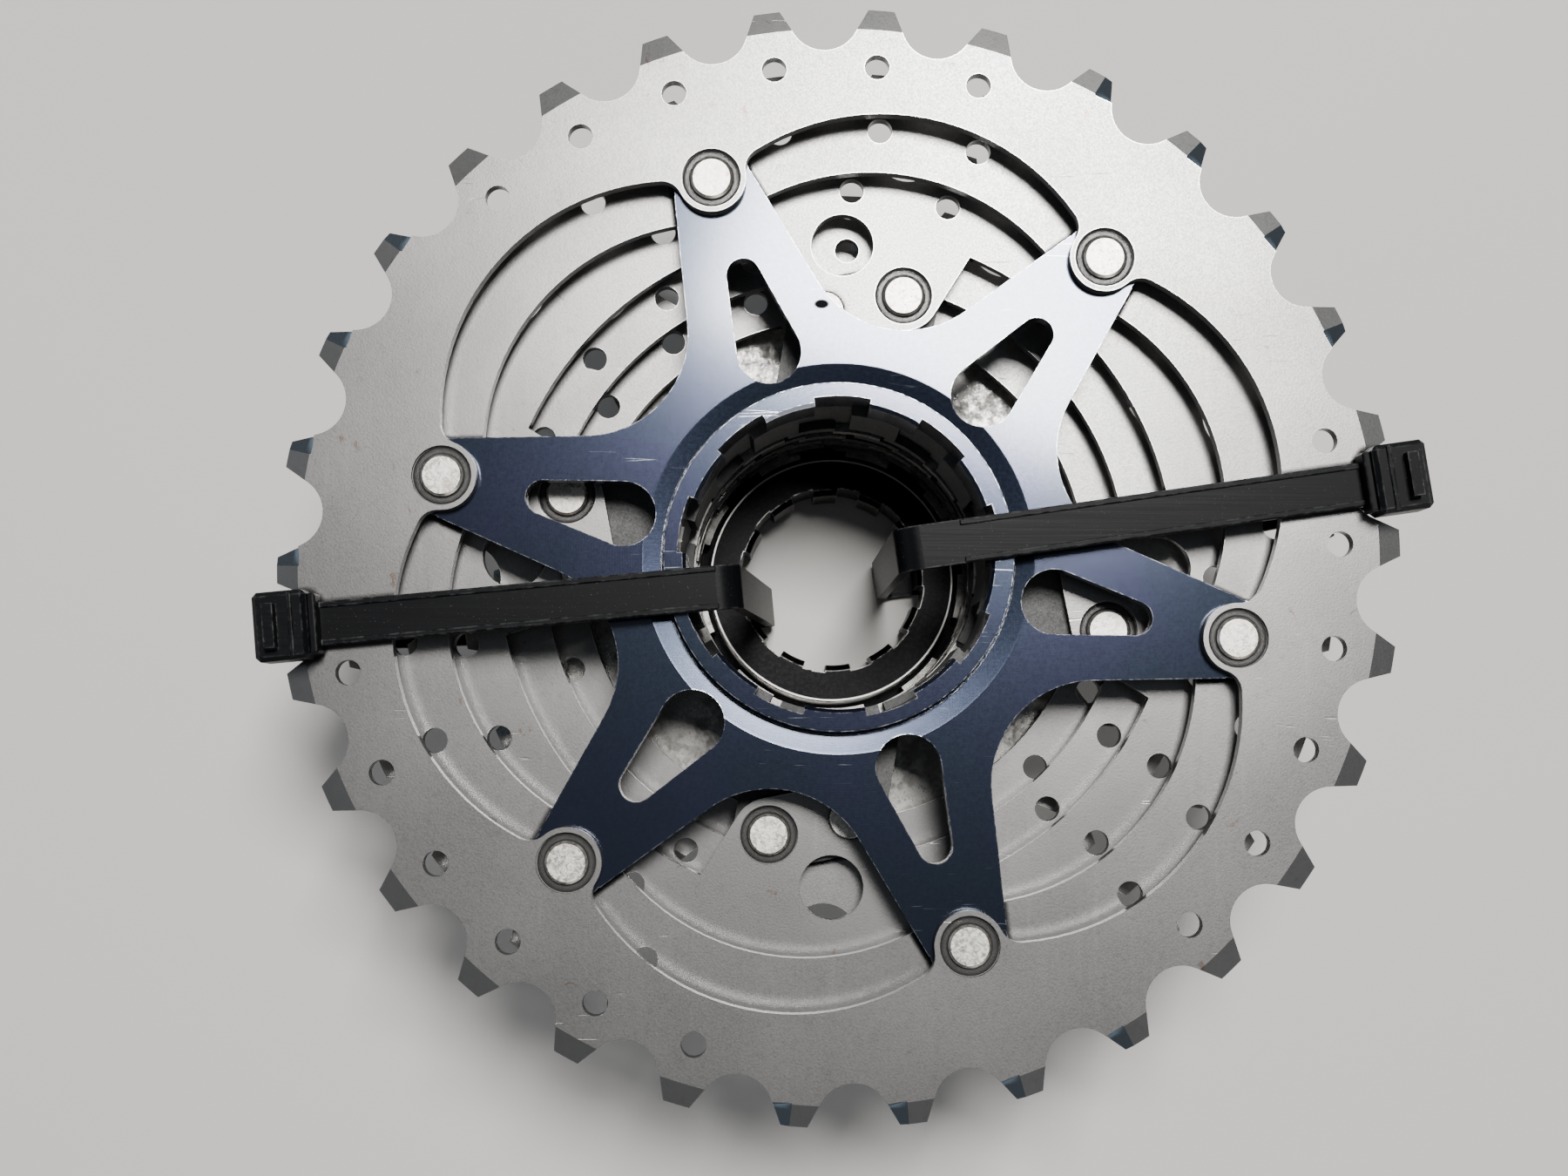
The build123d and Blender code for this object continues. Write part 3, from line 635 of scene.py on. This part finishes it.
def tie_details(node, turn, aside, head, material):
    """The raised side rails of a strap's top run, and the collar and ridge of its head."""
    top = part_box(node)[1].z
    shape = bmesh.new()
    stop = head - RAIL_STOP
    rail = (stop - RAIL_START, RAIL_WIDTH, RAIL_HEIGHT)
    for side in (-1, 1):
        centre = ((RAIL_START + stop) / 2, side * RAIL_ASIDE, RAIL_LEVEL)
        block(shape, rail, centre, turn, aside, 0.00012)
    block(shape, LIP, (head - LIP_BACK, 0, LIP_LEVEL), turn, aside, 0.0003)
    block(shape, RIDGE, (head - RIDGE_BACK, 0, top - RIDGE_DROP), turn, aside, 0.00014)
    mesh = bpy.data.meshes.new(node + "_details")
    shape.to_mesh(mesh)
    shape.free()
    mesh.materials.append(material)
    piece = bpy.data.objects.new(node + "_details", mesh)
    bpy.context.scene.collection.objects.link(piece)
    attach(piece, "rear_cluster")


class CASSETTE_OT_ties(bpy.types.Operator):
    """Finish the two cable ties and add their moulded details"""

    bl_idname = "cassette.ties"
    bl_label = "Cable ties"

    def execute(self, context):
        look = context.scene.cassette_finish
        for node, degrees, aside, head in TIES:
            turn = math.radians(degrees)
            material = nylon_finish(f"nylon {node}", look.nylon, turn)
            clothe(node, material, 0.0003, 3)
            tie_details(node, turn, aside, head, material)
        return {"FINISHED"}


def floor_finish(color):
    """Plain matte floor, very slightly clouded."""
    f = Finish("studio floor")
    tone = f.noise(0.004, 3, 0.5)
    base = f.blend(f.between(tone, 0.3, 0.7), shade(color, 0.98), shade(color, 1.02))
    return f.surface(base, 0.0, 0.6)


def soft_light(name, power):
    """Hang one of the area lights."""
    place, aim, size, color = LIGHTS[name]
    data = bpy.data.lights.new(name, "AREA")
    data.shape = "RECTANGLE"
    data.size, data.size_y = size
    data.energy = power
    data.color = color
    lamp = bpy.data.objects.new(name, data)
    lamp.location = place
    lamp.rotation_euler = (Vector(aim) - Vector(place)).to_track_quat("-Z", "Y").to_euler()
    bpy.context.scene.collection.objects.link(lamp)


class CASSETTE_OT_studio(bpy.types.Operator):
    """Lay the floor, hang the lights and set the camera"""

    bl_idname = "cassette.studio"
    bl_label = "Studio"

    def execute(self, context):
        studio = context.scene.cassette_studio
        scene = context.scene
        half = studio.floor_size / 2
        ground = CAD_BOX[0].z
        mesh = bpy.data.meshes.new("studio_floor")
        sides = ((-1, -1), (1, -1), (1, 1), (-1, 1))
        corners = [(x * half, y * half, ground) for x, y in sides]
        mesh.from_pydata(corners, [], [(0, 1, 2, 3)])
        mesh.materials.append(floor_finish(studio.floor))
        floor = bpy.data.objects.new("studio_floor", mesh)
        scene.collection.objects.link(floor)
        soft_light("key", studio.key_power)
        soft_light("fill", studio.fill_power)
        soft_light("side", studio.side_power)
        world = bpy.data.worlds.new("room")
        world.use_nodes = True
        background = world.node_tree.nodes["Background"]
        background.inputs["Color"].default_value = ROOM_COLOR
        background.inputs["Strength"].default_value = studio.sky
        scene.world = world
        camera = bpy.data.objects.new("camera", bpy.data.cameras.new("camera"))
        camera.data.lens = studio.lens
        camera.data.sensor_width = 36
        camera.data.clip_start = 0.01
        camera.location = (*studio.camera_aside, studio.camera_height)
        camera.rotation_euler = (studio.camera_tilt, 0, 0)
        scene.collection.objects.link(camera)
        scene.camera = camera
        return {"FINISHED"}


class CASSETTE_PT_panel(bpy.types.Panel):
    """Sizes, colours and pieces of the cassette"""

    bl_label = "Cassette"
    bl_idname = "CASSETTE_PT_panel"
    bl_space_type = "VIEW_3D"
    bl_region_type = "UI"
    bl_category = "Cassette"

    def draw(self, context):
        column = self.layout.column()
        for group in (context.scene.cassette_finish, context.scene.cassette_studio):
            for name in group.__annotations__:
                column.prop(group, name)
        for operator in OPERATORS:
            column.operator(operator.bl_idname)


OPERATORS = (
    CASSETTE_OT_large_sprockets,
    CASSETTE_OT_small_sprockets,
    CASSETTE_OT_carriers,
    CASSETTE_OT_rivets,
    CASSETTE_OT_spacers,
    CASSETTE_OT_lockring,
    CASSETTE_OT_ties,
    CASSETTE_OT_studio,
)
CLASSES = (CassetteFinish, CassetteStudio, *OPERATORS, CASSETTE_PT_panel)


def register():
    for item in CLASSES:
        bpy.utils.register_class(item)
    bpy.types.Scene.cassette_finish = bpy.props.PointerProperty(type=CassetteFinish)
    bpy.types.Scene.cassette_studio = bpy.props.PointerProperty(type=CassetteStudio)


def unregister():
    del bpy.types.Scene.cassette_studio
    del bpy.types.Scene.cassette_finish
    for item in reversed(CLASSES):
        bpy.utils.unregister_class(item)


def main():
    register()
    bpy.ops.cassette.studio()
    bpy.ops.cassette.large_sprockets()
    bpy.ops.cassette.small_sprockets()
    bpy.ops.cassette.carriers()
    bpy.ops.cassette.rivets()
    bpy.ops.cassette.spacers()
    bpy.ops.cassette.lockring()
    bpy.ops.cassette.ties()


if __name__ == "__main__":
    main()
